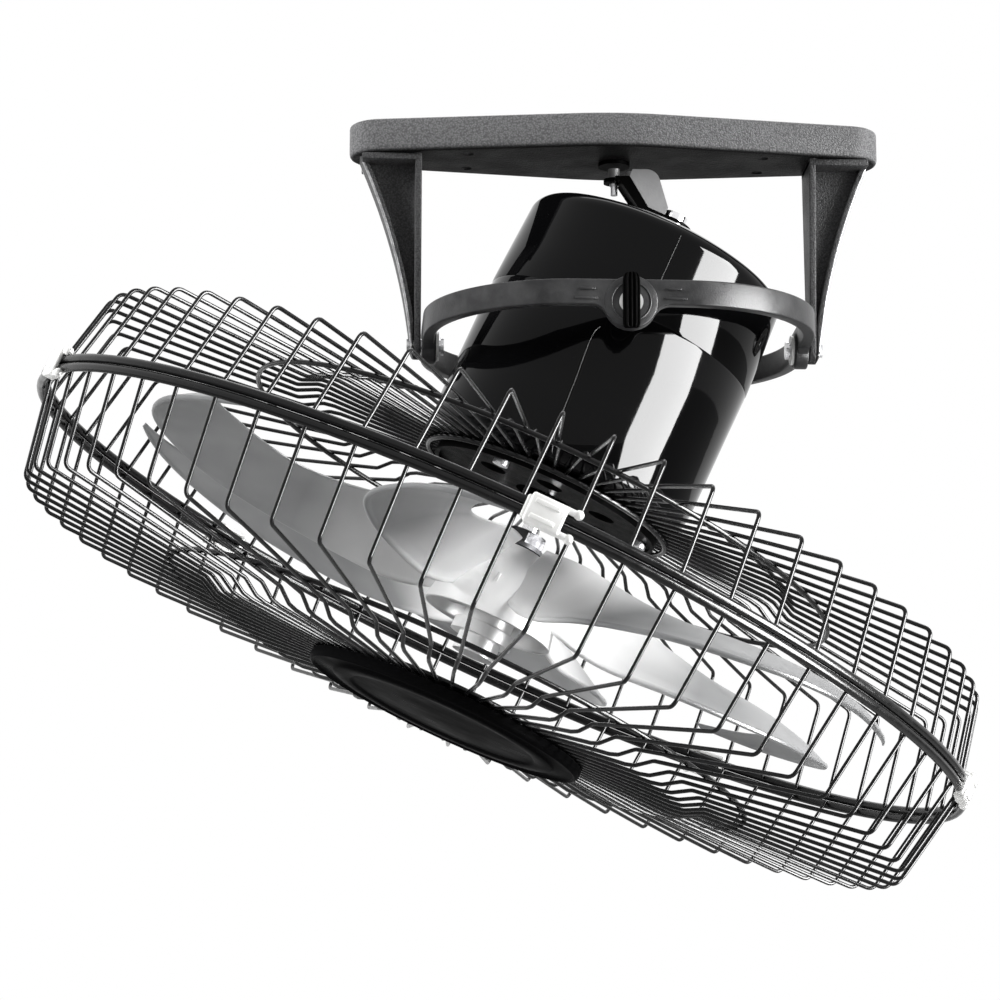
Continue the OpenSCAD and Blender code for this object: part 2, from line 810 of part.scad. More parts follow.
ceiling_plate();
leg_left();
leg_right();
orbit_socket();
pivot_pin_left();
pivot_pin_right();
gimbal_ring();
bush_left();
bush_right();
bush_front();
bush_back();
pivot_bar_front();
pivot_bar_back();
motor_housing();
rear_cover();
bell_front();
bell_rear();
bearing_front();
bearing_rear();
stator();
windings();
gear_plate();
orbit_motor();
capacitor();
guard_plate();
plate_screws();
rear_guard_wires();
rear_guard_rings();
front_guard_wires();
front_guard_rings();
front_cap();
rim_clip_1();
rim_clip_2();
rim_clip_3();
rim_clip_4();
rim_clip_5();
motor_shaft();
rotor_core();
fan_impeller();
blade_nut();
output_shaft();
crank_arm();
crank_cheek();
crank_bolt();
crank_bush();
crank_nut();
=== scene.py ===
import json
import math

import bmesh
import bpy
import numpy as np
from mathutils import Matrix, Vector


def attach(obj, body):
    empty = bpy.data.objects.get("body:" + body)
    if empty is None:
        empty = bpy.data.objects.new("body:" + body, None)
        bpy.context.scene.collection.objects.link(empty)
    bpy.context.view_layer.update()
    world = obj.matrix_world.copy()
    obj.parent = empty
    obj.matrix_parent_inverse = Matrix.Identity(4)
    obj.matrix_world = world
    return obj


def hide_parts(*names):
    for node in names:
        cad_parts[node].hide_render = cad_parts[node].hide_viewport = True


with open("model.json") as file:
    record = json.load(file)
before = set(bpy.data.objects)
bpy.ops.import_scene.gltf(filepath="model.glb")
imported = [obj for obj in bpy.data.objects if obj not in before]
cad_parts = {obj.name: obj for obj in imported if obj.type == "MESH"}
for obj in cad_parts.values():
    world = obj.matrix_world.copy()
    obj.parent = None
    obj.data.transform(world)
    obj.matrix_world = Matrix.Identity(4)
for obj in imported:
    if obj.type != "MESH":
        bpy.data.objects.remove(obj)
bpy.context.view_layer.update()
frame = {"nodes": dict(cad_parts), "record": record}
nodes = frame["nodes"]
mm = 0.001


def spun(axis, degrees):
    return Matrix.Rotation(math.radians(degrees), 4, axis)


def inMm(matrix):                         # for a piece that is drawn in millimetres
    return matrix @ Matrix.Diagonal((mm, mm, mm, 1))


# the moving bodies' own frames at rest
head = {"drop": 114 * mm, "tilt": 24.5, "rimDrop": 142 * mm}
toGimbal = Matrix.Translation((0, 0, -head["drop"]))
toHead = toGimbal @ spun("Y", head["tilt"])
toRim = toHead @ Matrix.Translation((0, 0, -head["rimDrop"]))


class Value:                              # one socket in a node tree, used like a number
    def __init__(self, nodes, socket):
        self.nodes = nodes
        self.socket = socket

    def join(self, operation, first, second):
        return self.nodes.add("ShaderNodeMath", {"operation": operation}, {0: first, 1: second})

    def __add__(self, other):
        return self.join("ADD", self, other)

    def __radd__(self, other):
        return self.join("ADD", other, self)

    def __mul__(self, other):
        return self.join("MULTIPLY", self, other)

    def __rmul__(self, other):
        return self.join("MULTIPLY", other, self)


class Nodes:                              # a node tree, of a material or of the world
    def __init__(self, tree):
        self.tree = tree

    def add(self, kind, settings=None, inputs=None, output=0):
        node = self.tree.nodes.new(kind)
        for key, value in (settings or {}).items():
            setattr(node, key, value)
        for key, value in (inputs or {}).items():
            if isinstance(value, Value):
                self.link(value, node.inputs[key])
            else:
                node.inputs[key].default_value = value
        return Value(self, node.outputs[output])

    def link(self, value, socket):
        self.tree.links.new(value.socket, socket)


class Finish(Nodes):                      # a material and the nodes it is made of
    def __init__(self, name, color, roughness, metallic=0.0, coat=0.0, specular=0.5):
        self.material = bpy.data.materials.new(name)
        self.material.use_nodes = True
        self.material.diffuse_color = (*color, 1.0)
        super().__init__(self.material.node_tree)
        self.shader = self.tree.nodes["Principled BSDF"]
        for key, value in (("Base Color", (*color, 1.0)), ("Roughness", roughness), ("Metallic", metallic),
                           ("Coat Weight", coat), ("Coat Roughness", 0.05), ("Specular IOR Level", specular)):
            self.shader.inputs[key].default_value = value

    def place(self):                      # metres, in the object's own frame
        return self.add("ShaderNodeTexCoord", output=3)

    def fromAxis(self, matrix):           # distance from a body's own upright axis
        axis = matrix.to_3x3() @ Vector((0, 0, 1))
        arm = self.add("ShaderNodeVectorMath", {"operation": "SUBTRACT"},
                       {0: self.place(), 1: matrix.translation})
        turned = self.add("ShaderNodeVectorMath", {"operation": "CROSS_PRODUCT"}, {0: arm, 1: axis})
        return self.add("ShaderNodeVectorMath", {"operation": "LENGTH"}, {0: turned}, output=1)

    def noise(self, size, detail):
        return self.add("ShaderNodeTexNoise", inputs={"Vector": self.place(), "Scale": 1.0 / size,
                                                      "Detail": detail, "Roughness": 0.55})

    def grains(self, size):
        return self.add("ShaderNodeTexVoronoi", {"feature": "SMOOTH_F1"},
                        {"Vector": self.place(), "Scale": 1.0 / size, "Smoothness": 0.6})

    def ramp(self, amount, low, high, dark=0.0, light=1.0):
        return self.add("ShaderNodeMapRange", inputs={"Value": amount, "From Min": low, "From Max": high,
                                                      "To Min": dark, "To Max": light})

    def mix(self, amount, first, second):
        pair = [(*shade, 1.0) if isinstance(shade, tuple) else shade for shade in (first, second)]
        return self.add("ShaderNodeMix", {"data_type": "RGBA"}, {0: amount, 6: pair[0], 7: pair[1]}, output=2)

    def paint(self, value):
        self.link(value, self.shader.inputs["Base Color"])

    def rough(self, value):
        self.link(value, self.shader.inputs["Roughness"])

    def bump(self, height, depth, strength):
        bump = self.add("ShaderNodeBump", inputs={"Height": height, "Distance": depth, "Strength": strength})
        self.link(bump, self.shader.inputs["Normal"])


print("materials")
underShadeEdge = {"low": -0.0169, "high": -0.0155}       # metres: below this height the bracket takes its dark colour, painted shade for the underside


def pebbledBlackShadedBelow(name, light, dark):      # cast bracket under a coarse powder coat, with painted shade on its underside
    finish = Finish(name, light, 0.45, specular=0.05)
    pebbles = finish.grains(0.0009)
    patches = finish.noise(0.02, 4.0)
    finish.bump(pebbles * 0.8 + finish.noise(0.0005, 2.0) * 0.5, 0.0004, 0.7)
    wall = finish.mix(finish.ramp(pebbles, 0.1, 0.7), light, tuple(part * 0.5 for part in light))
    # painted shade: below the edge height the coat takes the dark colour, standing for the shade under the
    # bracket
    paintedShadeBelow = finish.mix(finish.ramp(pebbles, 0.1, 0.7), dark, tuple(part * 0.5 for part in dark))
    lift = finish.add("ShaderNodeSeparateXYZ", inputs={"Vector": finish.place()}, output=2)
    finish.paint(finish.mix(finish.ramp(lift, underShadeEdge["low"], underShadeEdge["high"]), paintedShadeBelow, wall))
    finish.rough(finish.ramp(patches, 0.3, 0.7, 0.4, 0.54))
    return finish.material


def satinGrey():                          # gimbal ring, rubbed paint on metal
    finish = Finish("satinGrey", (0.045, 0.045, 0.046), 0.4, specular=0.14)
    clouds = finish.noise(0.012, 5.0)
    finish.paint(finish.mix(finish.ramp(clouds, 0.35, 0.7), (0.028, 0.028, 0.029), (0.058, 0.058, 0.059)))
    finish.rough(finish.ramp(clouds, 0.3, 0.7, 0.28, 0.42))
    finish.bump(finish.noise(0.0009, 3.0), 0.0002, 0.5)
    return finish.material


def glossBlack():                         # moulded housing, close to a mirror
    finish = Finish("glossBlack", (0.0018, 0.0018, 0.002), 0.05, specular=0.11)
    finish.rough(finish.ramp(finish.noise(0.03, 3.0), 0.3, 0.7, 0.03, 0.07))
    finish.bump(finish.noise(0.014, 2.0), 0.0003, 0.1)
    return finish.material


def capBlack():                           # the cap's dish, duller than the housing
    finish = Finish("capBlack", (0.0038, 0.0038, 0.004), 0.32, specular=0.0008)
    finish.rough(finish.ramp(finish.noise(0.02, 3.0), 0.3, 0.7, 0.26, 0.38))
    finish.bump(finish.noise(0.006, 3.0), 0.0002, 0.3)
    return finish.material


def paintedEdgeHighlight():                           # painted highlight along the legs' outer edges, a pale line standing for light caught there
    finish = Finish("paintedEdgeHighlight", (0.3, 0.3, 0.305), 0.32, specular=0.5)
    highlightPatches = finish.ramp(finish.noise(0.004, 4.0), 0.35, 0.65)
    finish.paint(finish.mix(highlightPatches, (0.2, 0.2, 0.204), (0.42, 0.42, 0.425)))
    finish.bump(finish.noise(0.0009, 2.0), 0.0002, 0.5)
    return finish.material


def guardWire():                          # wires dipped in black
    finish = Finish("guardWire", (0.004, 0.004, 0.0042), 0.2, specular=0.22)
    finish.rough(finish.ramp(finish.noise(0.006, 3.0), 0.3, 0.7, 0.15, 0.28))
    finish.bump(finish.noise(0.0015, 2.0), 0.0001, 0.4)
    return finish.material


def blackPlastic():
    finish = Finish("blackPlastic", (0.003, 0.003, 0.003), 0.3, specular=0.004)
    finish.rough(finish.ramp(finish.noise(0.008, 4.0), 0.3, 0.7, 0.28, 0.42))
    finish.bump(finish.noise(0.0006, 2.0), 0.00015, 0.5)
    return finish.material


def nylon():
    finish = Finish("nylon", (0.84, 0.84, 0.82), 0.36)
    clouds = finish.ramp(finish.noise(0.01, 3.0), 0.35, 0.7)
    finish.paint(finish.mix(clouds, (0.8, 0.8, 0.785), (0.87, 0.87, 0.855)))
    finish.bump(finish.noise(0.0012, 2.0), 0.0001, 0.4)
    return finish.material


def bladeGrey():                          # light moulding, whiter near the hub and darker out on the blades: partly the moulding's own tone, partly painted light on the hub and painted shade on the blade undersides
    finish = Finish("bladeGrey", (0.32, 0.324, 0.328), 0.32, coat=0.06)
    flow = finish.noise(0.05, 2.0)
    body = finish.mix(finish.ramp(flow, 0.35, 0.7), (0.2, 0.203, 0.206), (0.3, 0.303, 0.306))
    root = finish.mix(finish.ramp(flow, 0.35, 0.7), (0.86, 0.86, 0.86), (0.92, 0.92, 0.92))
    # painted light and shade: pale near the axis, fading to the darker blade colour between 55 and 110 mm out
    finish.paint(finish.mix(finish.ramp(finish.fromAxis(toRim), 0.055, 0.11), root, body))
    finish.rough(finish.ramp(finish.noise(0.03, 2.0), 0.3, 0.7, 0.3, 0.36))
    finish.bump(finish.noise(0.0011, 2.0), 0.00005, 0.06)
    return finish.material


def metal(name, color, roughness, grain, depth=0.0001):
    finish = Finish(name, color, roughness, metallic=1.0)
    scratches = finish.noise(grain, 4.0)
    finish.rough(finish.ramp(scratches, 0.3, 0.7, roughness * 0.75, roughness * 1.3))
    finish.paint(finish.mix(finish.ramp(finish.noise(grain * 6, 3.0), 0.35, 0.7), color,
                            tuple(min(1.0, shade * 1.18) for shade in color)))
    finish.bump(scratches, depth, 0.4)
    return finish.material


def plain(name, color, roughness, grain):
    finish = Finish(name, color, roughness)
    finish.paint(finish.mix(finish.ramp(finish.noise(grain * 5, 3.0), 0.35, 0.7), color,
                            tuple(shade * 0.82 for shade in color)))
    finish.bump(finish.noise(grain, 3.0), 0.0002, 0.5)
    return finish.material


finishes = {
    # the second colour is painted shade for the plate's underside
    "pebbled_black": pebbledBlackShadedBelow("pebbledBlackShadedBelow", (0.21, 0.21, 0.214), (0.004, 0.004, 0.0042)),
    # the legs' own copy of the coat, its values set apart from the plate's as painted light and shade on the
    # legs
    "legBlackPaintedLight": pebbledBlackShadedBelow("legBlackPaintedLight", (0.37, 0.37, 0.376), (0.1, 0.1, 0.102)),
    "satin_grey": satinGrey(),
    "gloss_black": glossBlack(),
    "guard_wire": guardWire(),
    "capBlack": capBlack(),
    # painted highlight for the legs' outer edges
    "paintedEdgeHighlight": paintedEdgeHighlight(),
    "black_plastic": blackPlastic(),
    "nylon": nylon(),
    "blade_grey": bladeGrey(),
    "steel": metal("steel", (0.56, 0.56, 0.57), 0.3, 0.002),
    "nutSteel": metal("nutSteel", (0.05, 0.05, 0.052), 0.55, 0.004, 0.00001),
    "chrome": metal("chrome", (0.74, 0.74, 0.75), 0.1, 0.004),
    "zinc": plain("zinc", (0.3, 0.3, 0.305), 0.5, 0.003),
    "cast_alloy": metal("castAlloy", (0.55, 0.55, 0.56), 0.5, 0.0012, 0.0003),
    "copper": metal("copperWire", (0.72, 0.36, 0.18), 0.35, 0.001),
    "lamination": plain("lamination", (0.12, 0.12, 0.12), 0.5, 0.001),
    "case_grey": plain("caseGrey", (0.5, 0.5, 0.5), 0.4, 0.002),
}

slots = {part["node"]: part["material_slot"] for part in frame["record"]["subparts"]}
for name, node in nodes.items():
    node.data.materials.clear()
    node.data.materials.append(finishes[slots[name]])


def smoothShade(mesh, angle):
    for face in mesh.polygons:
        face.use_smooth = True
    mesh.set_sharp_from_angle(angle=angle)


for node in nodes.values():
    smoothShade(node.data, 0.5)


def newPiece(name, builder, slot, body, replaced, matrix, angle=0.7, finish=None):
    mesh = bpy.data.meshes.new(name)
    bmesh.ops.recalc_face_normals(builder, faces=builder.faces)
    builder.transform(matrix)
    builder.to_mesh(mesh)
    builder.free()
    piece = bpy.data.objects.new(name, mesh)
    bpy.context.scene.collection.objects.link(piece)
    mesh.materials.append(finishes[finish or slot])
    smoothShade(mesh, angle)
    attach(piece, body)
    for node in replaced:
        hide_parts(node)
    return piece


print("guard wires")
guard = {"rim": 250 * mm, "rimWire": 4.4 * mm, "wire": 2 * mm, "count": 60, "corner": 237.5 * mm,
         "depth": 48 * mm, "mid": 156 * mm, "hub": 60 * mm, "inner": 56 * mm, "turn": 0.8, "sides": 10,
         "bend": 6 * mm, "cornerBend": 5 * mm,
         # height of a wire's start, how far it is tucked in at the corner, and its last bends before the hub
         "start": 1.2 * mm, "tuck": 0.25 * mm, "tuckDown": 0.4 * mm, "slope": 19.5 * mm, "rise": 6.4 * mm,
         "level": 29 * mm, "levelDrop": 0.8 * mm, "flat": 35 * mm}


def roundedLine(points, radii, steps=6, closed=False):
    line = [] if closed else [points[0]]
    for index in range(0 if closed else 1, len(points) - (0 if closed else 1)):
        before, here, after = points[index - 1], points[index], points[(index + 1) % len(points)]
        toBefore, toAfter = (before - here).normalized(), (after - here).normalized()
        half = toBefore.angle(toAfter) / 2
        reach = min(radii[index] / math.tan(half), (before - here).length * 0.48,
                    (after - here).length * 0.48)
        first, last = here + toBefore * reach, here + toAfter * reach
        for step in range(steps + 1):
            part = step / steps
            line.append(first * (1 - part) ** 2 + here * (2 * part * (1 - part)) + last * part ** 2)
    return line if closed else line + [points[-1]]


def skin(builder, loops, others):         # four-sided faces between each loop and its partner
    for first, second in zip(loops, others):
        for index in range(len(first)):
            after = (index + 1) % len(first)
            builder.faces.new((first[index], first[after], second[after], second[index]))


def sweep(builder, line, radius, sides, across):
    rings = []
    for index, point in enumerate(line):
        ahead = line[min(index + 1, len(line) - 1)] - line[max(index - 1, 0)]
        up = across.cross(ahead.normalized()).normalized()
        turns = [math.tau * side / sides for side in range(sides)]
        rings.append([builder.verts.new(point + across * (radius * math.cos(turn))
                                        + up * (radius * math.sin(turn))) for turn in turns])
    skin(builder, rings, rings[1:])
    builder.faces.new(list(reversed(rings[0])))
    builder.faces.new(rings[-1])


def guardWires(name, side):
    start = guard["rim"] - guard["rimWire"] / 2 - guard["wire"] / 2 - 0.1 * mm
    profile = [(start, guard["start"]),
               (guard["corner"] - guard["tuck"], guard["depth"] - guard["tuckDown"]),
               (guard["mid"] - guard["slope"], guard["depth"] + guard["rise"]),
               (guard["mid"] - guard["level"], guard["hub"] - guard["levelDrop"]),
               (guard["mid"] - guard["flat"], guard["hub"]), (guard["inner"], guard["hub"])]
    radii = [0, guard["cornerBend"], guard["bend"], guard["bend"], guard["bend"], 0]
    builder = bmesh.new()
    for index in range(guard["count"]):
        turn = math.radians(360 * index / guard["count"] - guard["turn"])
        out = Vector((math.cos(turn), math.sin(turn), 0))
        across = Vector((-math.sin(turn), math.cos(turn), 0))
        line = [out * reach + Vector((0, 0, side * height)) for reach, height in profile]
        sweep(builder, roundedLine(line, radii), guard["wire"] / 2, guard["sides"], across)
    return newPiece(name, builder, "guard_wire", "head", [name + "_wires"], toRim)


guardWires("rear_guard", 1)
guardWires("front_guard", -1)


def lathe(builder, profile, segments=96):
    turns = [math.tau * step / segments for step in range(segments)]
    rings = [[builder.verts.new((reach * math.cos(turn), reach * math.sin(turn), height)) for turn in turns]
             for reach, height in profile]
    skin(builder, rings, rings[1:] + rings[:1])


def loft(builder, outlines, ringed=False):
    loops = [[builder.verts.new(point) for point in outline] for outline in outlines]
    skin(builder, loops, loops[1:] + loops[:1] if ringed else loops[1:])
    if not ringed:
        builder.faces.new(loops[0])
        builder.faces.new(loops[-1])


def addPart(builder, part, matrix):       # takes up a closed part of the same piece
    part.transform(matrix)
    mesh = bpy.data.meshes.new("part")
    part.to_mesh(mesh)
    part.free()
    builder.from_mesh(mesh)
    bpy.data.meshes.remove(mesh)


def curveAt(rows, share):
    last = len(rows) - 1
    index = min(int(share * last), last - 1)
    part = share * last - index
    a, b, c, d = (np.array(rows[max(0, min(last, index + step))], float) for step in (-1, 0, 1, 2))
    return b + 0.5 * part * (c - a + part * (2 * a - 5 * b + 4 * c - d + part * (3 * (b - c) + d - a)))


print("fan")
fan = {"reach": 205, "count": 6, "turn": 7, "steps": 56, "camber": 0.06,
       "outer": [(0.993, 1, 9), (1.000, 13, 6.5), (1.000, 25, 4.5), (0.966, 35, 1.5), (0.878, 43, -2),
                 (0.756, 51, -5.5), (0.624, 56, -8), (0.478, 60, -10), (0.322, 63, -12), (0.225, 68, -10),
                 (0.120, 74, -3)],
       "inner": [(0.986, 0, 11), (0.971, 9, 12), (0.937, 17, 13), (0.878, 23, 14), (0.800, 27.5, 14.5),
                 (0.707, 32, 14), (0.595, 35.5, 13.5), (0.468, 37, 16.5), (0.332, 36, 22.5),
                 (0.200, 34, 28.5), (0.075, 30, 31)],
       # distance from the outer edge and half the thickness there: a rolled lip, then the plain sheet
       "lip": [(0, 0.15), (0.35, 0.95), (1.0, 1.35), (1.9, 1.4), (2.8, 1.15), (3.6, 0.9)],
       "sheet": 0.85,
       "heel": [(2.4, 0.8), (1.0, 0.7), (0.35, 0.45), (0, 0.1)],
       "dome": [(11, 27.4), (12, 26), (15.5, 20.5), (20.5, 14.5), (25.5, 8), (29.2, 1.6), (32.4, -5.6),
                (34, -13)],
       "domeEdge": [(34.1, -13.8), (33.4, -14.3), (32.4, -14.2)], "domeTop": [(9, 23), (9, 27.6)],
       "wall": 2.2, "boss": 13, "bossTop": 24, "bossEnd": -16, "bore": 5.1,
       "rib": (17, 1.4, 16), "ribReach": 20}


def edgePoint(rows, share):
    reach, bearing, height = curveAt(rows, share)
    turn = math.radians(bearing)
    return Vector((fan["reach"] * reach * math.cos(turn), -fan["reach"] * reach * math.sin(turn), height))


def fanBlade(builder, matrix):
    def spot(share, across):
        first, last = edgePoint(fan["outer"], share), edgePoint(fan["inner"], share)
        rise = fan["camber"] * (last - first).length * 4 * across * (1 - across)
        return first + (last - first) * across + Vector((0, 0, rise))

    loops = []
    for step in range(fan["steps"] + 1):
        share = step / fan["steps"]
        width = (edgePoint(fan["inner"], share) - edgePoint(fan["outer"], share)).length
        squeeze = min(1.0, width / 12)
        places = [(reach * squeeze / width, half) for reach, half in fan["lip"]]
        end = [(1 - reach * squeeze / width, half) for reach, half in fan["heel"]]
        places += [(places[-1][0] + (end[0][0] - places[-1][0]) * part / 8, fan["sheet"])
                   for part in range(1, 8)]
        places += end
        upper, lower = [], []
        for across, half in places:
            nearShare = min(max(share, 0.004), 0.996)
            along = spot(nearShare + 0.004, across) - spot(nearShare - 0.004, across)
            over = spot(share, min(across + 0.01, 1.0)) - spot(share, max(across - 0.01, 0.0))
            normal = over.cross(along).normalized()
            if normal.z < 0:
                normal.negate()
            middlePoint = spot(share, across)
            upper.append(matrix @ (middlePoint + normal * half * squeeze))
            lower.append(matrix @ (middlePoint - normal * half * squeeze))
        loops.append([builder.verts.new(point) for point in upper + lower[::-1]])
    skin(builder, loops, loops[1:])
    half = len(loops[0]) // 2
    for loop in (loops[0], loops[-1]):
        for index in range(half - 1):
            builder.faces.new((loop[index], loop[index + 1], loop[-2 - index], loop[-1 - index]))


def fanImpeller():
    builder = bmesh.new()
    for index in range(fan["count"]):
        turn = -math.tau * index / fan["count"] - math.radians(fan["turn"])
        fanBlade(builder, Matrix.Rotation(turn, 4, "Z"))
    dome = [tuple(curveAt(fan["dome"], step / 24)) for step in range(25)]
    inside = [(reach - fan["wall"], height - 0.8) for reach, height in dome[::-1]]
    lathe(builder, dome + fan["domeEdge"] + inside[:-2] + fan["domeTop"])
    top, end, boss, bore = fan["bossTop"], fan["bossEnd"], fan["boss"], fan["bore"]
    lathe(builder, [(boss, top), (boss, end + 1.2), (boss - 0.4, end + 0.4), (boss - 1.2, end),
                    (bore + 0.6, end), (bore, end + 0.6), (bore, top)], 64)
    for index in range(fan["count"]):         # ribs between the boss and the dome
        turn = math.tau * (index + 0.35) / fan["count"]
        rib = bmesh.ops.create_cube(builder, size=1)["verts"]
        place = Matrix.Rotation(turn, 4, "Z") @ Matrix.Translation((fan["ribReach"], 0, 0))
        bmesh.ops.transform(builder, matrix=place @ Matrix.Diagonal((*fan["rib"], 1)), verts=rib)
    return newPiece("fan_blades", builder, "blade_grey", "rotor", ["fan_impeller"], inMm(toRim), 0.8)


fanImpeller()


cap = {"face": [(0.05, -62.7), (57, -62.6), (65, -61.4), (72.6, -61.1), (73.0, -61.5), (73.2, -63),
                (73.1, -65.2), (72.6, -66.2), (71.8, -66.6), (71.0, -66.3), (70.2, -65.6), (68, -65.3),
                (61, -65.5), (60.2, -65.9), (59.6, -66.8), (58.8, -67.1), (51, -67.2), (50.2, -66.9),
                (49.4, -66.4), (48.5, -66.3), (30, -67.2), (12, -67.5), (0.05, -67.6)],
       "clamp": [(0.05, -62), (55, -62), (55, -58.9), (59, -58.9), (59.2, -58.2), (59.2, -56.6),
                 (58.6, -55.9), (56, -55.7), (20, -55.9), (0.05, -55.9)]}


def frontCap():
    builder = bmesh.new()
    for profile in (cap["face"], cap["clamp"]):
        lathe(builder, profile, 144)
    return newPiece("cap_disc", builder, "gloss_black", "head", ["front_cap"], inMm(toRim), 0.5, "capBlack")


frontCap()


print("clips")
clip = {"bearings": [88, 160, 232, 304, 16], "rim": 250, "wire": 4.4, "gap": 2.3, "body": (-8.5, 8.5),
        "reach": 4.6, "inside": 1.6, "half": 7.0, "finger": 13.2, "fingerThick": 3.0, "knob": 2.3,
        "stripe": 3.6, "stripeHalf": 1.1}


def bar(builder, low, high, round, segments=3):
    center = [(a + b) / 2 for a, b in zip(low, high)]
    size = [b - a for a, b in zip(low, high)]
    verts = bmesh.ops.create_cube(builder, size=1)["verts"]
    bmesh.ops.transform(builder, matrix=Matrix.Translation(center) @ Matrix.Diagonal((*size, 1)), verts=verts)
    edges = list(dict.fromkeys(edge for vert in verts for edge in vert.link_edges))   # each once, in order
    bmesh.ops.bevel(builder, geom=edges, offset=round, segments=segments, profile=0.5, affect="EDGES")


def bend(builder, radius):                # wraps what lies along y round the rim
    for vert in builder.verts:
        out, along, up = vert.co
        turn = along / radius
        vert.co = Vector((out * math.cos(turn), out * math.sin(turn), up))


def rimClip(number, bearing):
    builder = bmesh.new()
    rim, gap, half = clip["rim"], clip["gap"], clip["half"]
    outer, inner = rim + clip["reach"], rim - clip["inside"]
    first, last = clip["body"]
    bar(builder, (rim + 1.9, first, -half), (outer, last, half), 1.3)              # back of the clip
    for side in (-1, 1):
        low, high = sorted((side * (gap + clip["wire"] / 2 + 0.1), side * half))
        # cheek over a wire
        bar(builder, (inner, first + 0.6, low), (outer - 1.2, last - 0.4, high), 1.0)
        # finger with a knob at its tip
        tipLow, tipHigh = sorted((side * (half - clip["fingerThick"] + 0.2), side * (half + 0.2)))
        bar(builder, (rim + 0.2, last - 3, tipLow), (rim + 3.4, clip["finger"], tipHigh), 1.1)
        knob = bmesh.ops.create_uvsphere(builder, u_segments=20, v_segments=12, radius=clip["knob"])["verts"]
        bmesh.ops.translate(builder, vec=(rim + 1.8, clip["finger"], side * (half - 1.2)), verts=knob)
        # raised stripe on the back
        middle, thick = side * clip["stripe"], clip["stripeHalf"]
        bar(builder, (outer - 0.5, first + 2.2, middle - thick),
            (outer + 0.5, last - 3.4, middle + thick), 0.45)
    # heel of the clip
    bar(builder, (inner + 0.4, first - 1.6, -half + 1.6), (outer - 1.6, first + 2, half - 1.6), 1.0)
    bend(builder, rim)
    place = inMm(toRim @ spun("Z", -bearing))
    return newPiece(f"clip_{number}", builder, "nylon", "head", [f"rim_clip_{number}"], place, 0.8)


for number, bearing in enumerate(clip["bearings"], 1):
    rimClip(number, bearing)


print("ring and bracket trim")
trim = {"face": 98.2, "grooveReach": 9.4, "grooveWire": 0.45, "barWidth": 8.4, "barLow": -13.2,
        "barHigh": 14.2, "barDepth": 3.4, "ribs": 4, "ribDepth": 0.55, "roll": 2.2, "columns": 48,
        # share of the bar's height and how full it is there
        "ends": [(0, 0.72), (0.02, 0.88), (0.06, 1), (0.5, 1), (0.8, 1), (0.88, 0.97), (0.94, 0.88),
                 (0.98, 0.72), (1, 0.4)],
        # height of a mark, where it starts and where it ends
        "marks": [(6.3, 17, 24.5), (1.6, 16, 27)], "markHalf": 0.55}


def hoop(builder, radius, thick, place, segments=64, sides=8):
    rings = []
    for step in range(segments):
        turn = math.tau * step / segments
        out = Vector((math.cos(turn), 0, math.sin(turn)))
        around = [math.tau * index / sides for index in range(sides)]
        points = [out * (radius + thick * math.cos(side)) + Vector((0, thick * math.sin(side), 0))
                  for side in around]
        rings.append([builder.verts.new(place @ point) for point in points])
    skin(builder, rings, rings[1:] + rings[:1])


def ringTrim(name, facing):
    builder = bmesh.new()
    hoop(builder, trim["grooveReach"], trim["grooveWire"], Matrix.Translation((0, -trim["face"], 0)))
    for side in (-1, 1):
        for height, low, high in trim["marks"]:
            start, end = sorted((side * low, side * high))
            bar(builder, (start, -trim["face"] - 0.35, height - trim["markHalf"]),
                (end, -trim["face"] + 1, height + trim["markHalf"]), 0.3, 2)
    return newPiece(name, builder, "satin_grey", "ring", (), inMm(toGimbal @ spun("Z", facing)), 0.8)


def ribbedBar(name, facing, node):
    builder = bmesh.new()
    width, low, high, depth = trim["barWidth"], trim["barLow"], trim["barHigh"], trim["barDepth"]
    levels = []
    for share, shrink in trim["ends"]:
        height = low + (high - low) * share
        level = []
        for step in range(trim["columns"] + 1):
            part = step / trim["columns"]
            across = (part - 0.5) * width * shrink
            fade = min(1, 8 * part, 8 * (1 - part))
            wave = trim["ribDepth"] * (math.cos(math.tau * part * trim["ribs"]) - 1) * fade
            roll = -trim["roll"] * (abs(2 * part - 1)) ** 6
            thick = (depth + wave + roll) * (0.4 + 0.6 * shrink)
            level.append((across, -trim["face"] - 0.25 - thick, height))
        level += [(end * width * shrink / 2, -trim["face"] - 0.2, height) for end in (1, -1)]
        levels.append(level)
    loft(builder, levels)
    place = inMm(toGimbal @ spun("Z", facing))
    return newPiece(name, builder, "black_plastic", "ring", [node], place, 0.6)


for facing, word in ((0, "front"), (180, "back")):
    ringTrim(f"ring_marks_{word}", facing)
    ribbedBar(f"ribbed_bar_{word}", facing, f"pivot_bar_{word}")


print("housing")
housing = {"face": -80.9, "skirt": -54.9, "faceRadius": 64, "radius": 70, "joint": 3.7, "flare": 0.5,
           "wall": 2.5, "shoulder": 8, "side": 68.5, "crown": 175, "top": 66.2, "collar": 11,
           "collarTop": 69.9, "bore": 4.6, "hole": 24, "lug": 7, "lugStart": 67, "lugEnd": 88.7,
           "pin": 3.4, "pinEnd": 97.8}


def arcPoints(x, z, radius, first, last, steps):
    turns = [math.radians(first + (last - first) * step / steps) for step in range(steps + 1)]
    return [(x + radius * math.cos(turn), z + radius * math.sin(turn)) for turn in turns]


